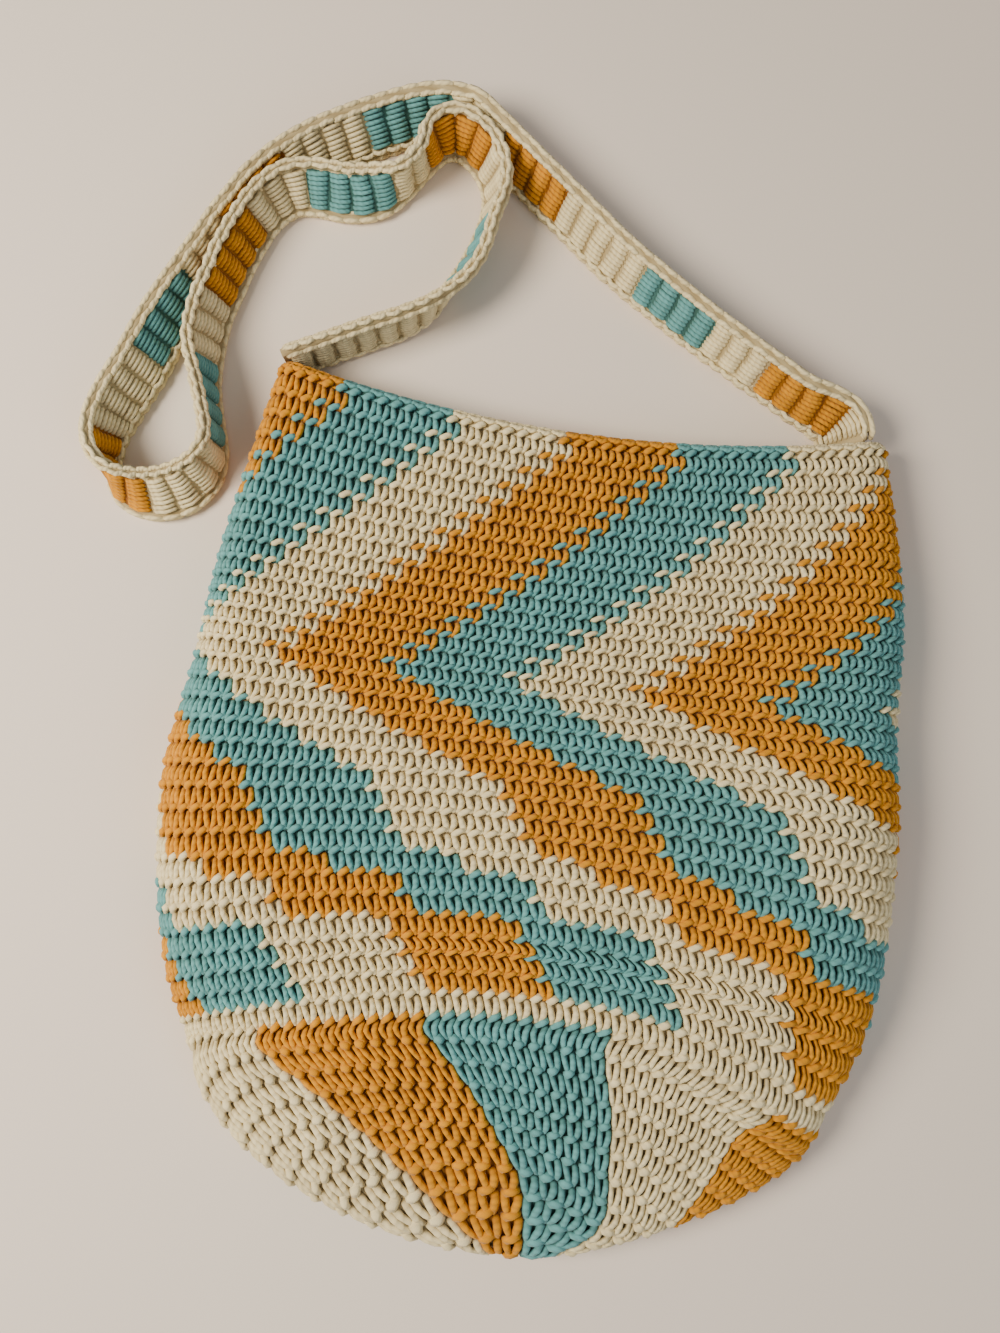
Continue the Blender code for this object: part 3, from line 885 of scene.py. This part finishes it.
class CrochetBagYarns(bpy.types.PropertyGroup):
    cream: bpy.props.FloatVectorProperty(
        name="Cream", description="Cream yarn in the light", subtype="COLOR", size=4,
        min=0.0, max=1.0, default=(0.93, 0.80, 0.47, 1.0))
    # Painted shade: this dark cream goes where the stitch relief and the ply grooves paint shade, and where the
    # uneven dye runs dark.
    cream_deep: bpy.props.FloatVectorProperty(
        name="Deep cream", description="Cream yarn between its plies", subtype="COLOR", size=4,
        min=0.0, max=1.0, default=(0.36, 0.27, 0.13, 1.0))
    mustard: bpy.props.FloatVectorProperty(
        name="Mustard", description="Mustard yarn in the light", subtype="COLOR", size=4,
        min=0.0, max=1.0, default=(0.76, 0.32, 0.005, 1.0))
    # Painted shade: this dark mustard goes where the stitch relief and the ply grooves paint shade, and where
    # the uneven dye runs dark.
    mustard_deep: bpy.props.FloatVectorProperty(
        name="Deep mustard", description="Mustard yarn between its plies", subtype="COLOR", size=4,
        min=0.0, max=1.0, default=(0.20, 0.065, 0.002, 1.0))
    teal: bpy.props.FloatVectorProperty(
        name="Teal", description="Teal yarn in the light", subtype="COLOR", size=4,
        min=0.0, max=1.0, default=(0.15, 0.42, 0.42, 1.0))
    # Painted shade: this dark teal goes where the stitch relief and the ply grooves paint shade, and where the
    # uneven dye runs dark.
    teal_deep: bpy.props.FloatVectorProperty(
        name="Deep teal", description="Teal yarn between its plies", subtype="COLOR", size=4,
        min=0.0, max=1.0, default=(0.035, 0.10, 0.085, 1.0))


class CrochetBagStage(bpy.types.PropertyGroup):
    key_power: bpy.props.FloatProperty(
        name="Key light", description="Power of the large soft lamp on the left, in watts",
        default=16.0, min=0.0)
    fill_power: bpy.props.FloatProperty(
        name="Fill light", description="Power of the cooler lamp on the right, in watts",
        default=4.0, min=0.0)


class WORK_OT_bag_wall(bpy.types.Operator):
    """Works the wall and base of the bag in its three yarns"""

    bl_idname = "crochet_bag.wall"
    bl_label = "Work wall and base"

    def execute(self, context):
        stitches = np.arange(-3.0, ROUND_STITCHES + 1.2 * ROUND_STITCHES / WEDGES, 0.4)
        rows = np.append(np.arange(0.0, ALL_ROWS, 0.25), ALL_ROWS - 0.02)
        points, normal = bag_grid(stitches, rows)
        above = points[:1] * 2 - points[2:3]
        points = np.vstack([above, points, points[-1:]])
        normal = np.vstack([normal[:1], normal, normal[-1:]])
        rows = np.concatenate([[-0.5], rows, [ALL_ROWS + 0.6]])
        form = chart_form("bag_form", points, normal, stitches, rows)
        upright, leaning = single_crochet("upright_stitch", 0.0), single_crochet("leaning_stitch", 0.3)
        loop = top_bump()
        seed = 1
        wall, base = wall_cells(range(1, WALL_ROWS)), wall_cells([WALL_ROWS]) + base_cells()
        for part, cells, legs in (("wall", wall, upright), ("base", base, leaning)):
            for colour in COLOURS:
                pieces = []
                for kind, stitch in (("legs", legs), ("loop", loop)):
                    chosen = [cell for yarn_name, what, cell in cells if (yarn_name, what) == (colour, kind)]
                    pieces.append(work(f"{kind}_{colour}", chosen, stitch, form, colour, seed))
                    seed += 1
                finish_piece(joined(f"{part}_stitches_{colour}", pieces))
        core = fabric_core(np.arange(0.0, ROUND_STITCHES, 0.5), np.arange(0.0, ALL_ROWS + 0.5, 1.0))
        finish_piece(core)
        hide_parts("bag_side", "bag_base")
        clear_helpers([form, upright, leaning, loop])
        return {"FINISHED"}


class WORK_OT_mouth_edging(bpy.types.Operator):
    """Works the chain edging of the mouth in the yarns of the row under it"""

    bl_idname = "crochet_bag.mouth"
    bl_label = "Work mouth edging"

    def execute(self, context):
        stitches, middle, away, inward = mouth_path(outline())
        up = away - inward
        up /= np.linalg.norm(up, axis=1)[:, None]
        aside = np.cross(up, np.gradient(middle, axis=0))
        aside /= np.linalg.norm(aside, axis=1)[:, None]
        form = cord_form("mouth_form", stitches, middle, up, aside, EDGING_DIAMETER / 2)
        link = chain_link()
        tones = [COLOURS.index(wall_colour(1, s + 0.25)) for s in stitches]
        ring_part = slice(2, 2 + 2 * ROUND_STITCHES)
        core = tube("mouth_edging_core", middle[ring_part], up[ring_part], aside[ring_part],
                    EDGING_DIAMETER / 2 - 0.0012, True, tones[ring_part])
        finish_piece(core)
        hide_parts("mouth_edging")
        for seed, colour in enumerate(COLOURS):
            chosen = [(float(k), y, 1.0, 1.0) for k in range(ROUND_STITCHES) for y in (0.0, 0.5)
                      if wall_colour(1, k + 0.5) == colour]
            piece = work(f"mouth_chain_{colour}", chosen, link, form, colour, 20 + seed)
            finish_piece(piece)
        clear_helpers([form, link])
        return {"FINISHED"}


class WORK_OT_strap(bpy.types.Operator):
    """Works the strap's band and its two chain edgings"""

    bl_idname = "crochet_bag.strap"
    bl_label = "Work strap"

    def execute(self, context):
        middle, raised, face, length = strap_path(480)
        rows = np.linspace(-0.25, STRAP_ROWS + 0.25, len(middle))
        half = STRAP_THICKNESS / 2 + 0.0004
        band = (STRAP_WIDTH - EDGING_DIAMETER) / 2 - EDGING_DIAMETER / 2 + 0.0012
        rib = band_rib()
        used = [rib]
        across = np.linspace(-0.5, STRAP_STITCHES + 0.5, 11)
        offsets = band * (1 - 2 * across / STRAP_STITCHES)
        pieces = {colour: [] for colour in COLOURS}
        for side, name in ((1, "outer"), (-1, "inner")):
            shares = offsets * side
            points = middle[:, None] + raised[:, None] * shares[None, :, None] + face[:, None] * half * side
            normal = np.repeat(face[:, None] * side, len(across), axis=1)
            form = chart_form(f"strap_form_{name}", points, normal, across, rows)
            used.append(form)
            for colour in COLOURS:
                chosen = [(float(k), -float(row), 1.0, 1.0) for row in range(STRAP_ROWS)
                          for k in range(STRAP_STITCHES) if strap_colour(row) == colour]
                if chosen:
                    ribs = work(f"rib_{colour}_{name}", chosen, rib, form, colour, 30 + side, 0.06)
                    pieces[colour].append(ribs)
        for colour in COLOURS:
            if pieces[colour]:
                finish_piece(joined(f"strap_stitches_{colour}", pieces[colour]))
        core = self.band_core(middle, raised, face, band, half - 0.0016)
        finish_piece(core)
        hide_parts("strap_band")
        link = chain_link()
        used.append(link)
        links = int(STRAP_ROWS * LINKS_PER_ROW)
        spots = np.linspace(-0.3, links + 0.35, len(middle))
        out = (STRAP_WIDTH - EDGING_DIAMETER) / 2
        for side, name in ((1, "upper"), (-1, "lower")):
            cord = middle + raised * out * side
            up = raised * side + face * 0.8
            up /= np.linalg.norm(up, axis=1)[:, None]
            aside = np.cross(up, np.gradient(cord, axis=0))
            aside /= np.linalg.norm(aside, axis=1)[:, None]
            form = cord_form(f"edging_form_{name}", spots, cord, up, aside, EDGING_DIAMETER / 2)
            used.append(form)
            cells = [(float(k), y, 1.0, 1.0) for k in range(links) for y in (0.0, 0.5)]
            chain = work(f"strap_chain_{name}", cells, link, form, "cream", 40 + side)
            finish_piece(chain)
            cord_core = tube(f"strap_edging_core_{name}", cord[::3], up[::3], aside[::3],
                             EDGING_DIAMETER / 2 - 0.0012, False, [0] * len(cord))
            finish_piece(cord_core)
            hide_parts(f"strap_edging_{name}")
        clear_helpers(used)
        return {"FINISHED"}

    def band_core(self, middle, raised, face, band, half):
        """The closed flat body under the strap's stitches."""
        corners = [(band, half), (-band, half), (-band, -half), (band, -half)]
        rings = np.stack([middle + raised * b + face * h for b, h in corners], axis=1)
        count = len(rings)
        faces = [(0, 1, 2, 3), tuple(4 * (count - 1) + k for k in (3, 2, 1, 0))]
        tones = [0, 0]
        for i in range(count - 1):
            row = int(i / (count - 1) * STRAP_ROWS)
            for k in range(4):
                n = (k + 1) % 4
                faces.append((4 * i + k, 4 * i + 4 + k, 4 * i + 4 + n, 4 * i + n))
                tones.append(COLOURS.index(strap_colour(row)))
        mesh = bpy.data.meshes.new("strap_core")
        mesh.from_pydata(rings.reshape(-1, 3).tolist(), [], faces)
        for colour in COLOURS:
            mesh.materials.append(yarn(colour))
        mesh.polygons.foreach_set("material_index", tones)
        layer = mesh.uv_layers.new(name="ply")
        ends = np.array([loop.vertex_index for loop in mesh.loops])
        layer.data.foreach_set("uv", np.column_stack([ends % 4 / 4, ends // 4]).ravel())
        item = bpy.data.objects.new("strap_core", mesh)
        bpy.context.scene.collection.objects.link(item)
        return item


class WORK_OT_stage(bpy.types.Operator):
    """Sets the pale floor, the soft light and the camera"""

    bl_idname = "crochet_bag.stage"
    bl_label = "Set floor, light and camera"

    def execute(self, context):
        scene = context.scene
        settings = scene.crochet_bag_stage
        mesh = bpy.data.meshes.new("floor")
        mesh.from_pydata([(-3, -3, 0), (3, -3, 0), (3, 3, 0), (-3, 3, 0)], [], [(0, 1, 2, 3)])
        floor = bpy.data.objects.new("floor", mesh)
        floor.location = (0.0, 0.0, -0.0004)
        scene.collection.objects.link(floor)
        cloth = bpy.data.materials.new("floor")
        cloth.use_nodes = True
        shader = cloth.node_tree.nodes["Principled BSDF"]
        shader.inputs["Base Color"].default_value = (0.86, 0.76, 0.66, 1.0)
        shader.inputs["Roughness"].default_value = 0.95
        mesh.materials.append(cloth)
        self.lamp(scene, "key", (-0.75, 0.05, 0.75), (0.0, 0.1, 0.0), 0.5, settings.key_power, (1.0, 0.90, 0.76))
        self.lamp(scene, "fill", (0.8, -0.7, 0.9), (0.0, 0.0, 0.0), 0.9, settings.fill_power, (0.85, 0.92, 1.0))
        world = bpy.data.worlds.new("studio")
        world.use_nodes = True
        world.node_tree.nodes["Background"].inputs[0].default_value = (1.0, 0.97, 0.93, 1.0)
        world.node_tree.nodes["Background"].inputs[1].default_value = 0.32
        scene.world = world
        lens = bpy.data.cameras.new("camera")
        lens.lens = 26.0
        lens.sensor_width = 36.0
        camera = bpy.data.objects.new("camera", lens)
        camera.location = (-0.014, 0.0288, 0.428)
        camera.rotation_euler = (math.radians(5.5), 0.0, 0.0)
        scene.collection.objects.link(camera)
        scene.camera = camera
        return {"FINISHED"}

    def lamp(self, scene, name, place, aim, size, power, colour):
        data = bpy.data.lights.new(name, "AREA")
        data.shape = "DISK"
        data.size = size
        data.energy = power
        data.color = colour
        item = bpy.data.objects.new(name, data)
        way = np.array(aim) - np.array(place)
        item.location = place
        item.rotation_euler = (math.acos(-way[2] / np.linalg.norm(way)), 0.0,
                               math.atan2(way[1], way[0]) - math.pi / 2)
        scene.collection.objects.link(item)


class WORK_PT_crochet_bag(bpy.types.Panel):
    bl_idname = "WORK_PT_crochet_bag"
    bl_label = "Crochet bag"
    bl_space_type = "VIEW_3D"
    bl_region_type = "UI"
    bl_category = "Crochet bag"

    def draw(self, context):
        for operator in OPERATORS:
            self.layout.operator(operator.bl_idname)


OPERATORS = (WORK_OT_bag_wall, WORK_OT_mouth_edging, WORK_OT_strap, WORK_OT_stage)
CLASSES = (CrochetBagYarns, CrochetBagStage, *OPERATORS, WORK_PT_crochet_bag)


def register():
    for item in CLASSES:
        bpy.utils.register_class(item)
    bpy.types.Scene.crochet_bag_yarns = bpy.props.PointerProperty(type=CrochetBagYarns)
    bpy.types.Scene.crochet_bag_stage = bpy.props.PointerProperty(type=CrochetBagStage)


def unregister():
    del bpy.types.Scene.crochet_bag_stage
    del bpy.types.Scene.crochet_bag_yarns
    for item in reversed(CLASSES):
        bpy.utils.unregister_class(item)


def main():
    register()
    bpy.ops.crochet_bag.wall()
    bpy.ops.crochet_bag.mouth()
    bpy.ops.crochet_bag.strap()
    bpy.ops.crochet_bag.stage()


if __name__ == "__main__":
    main()
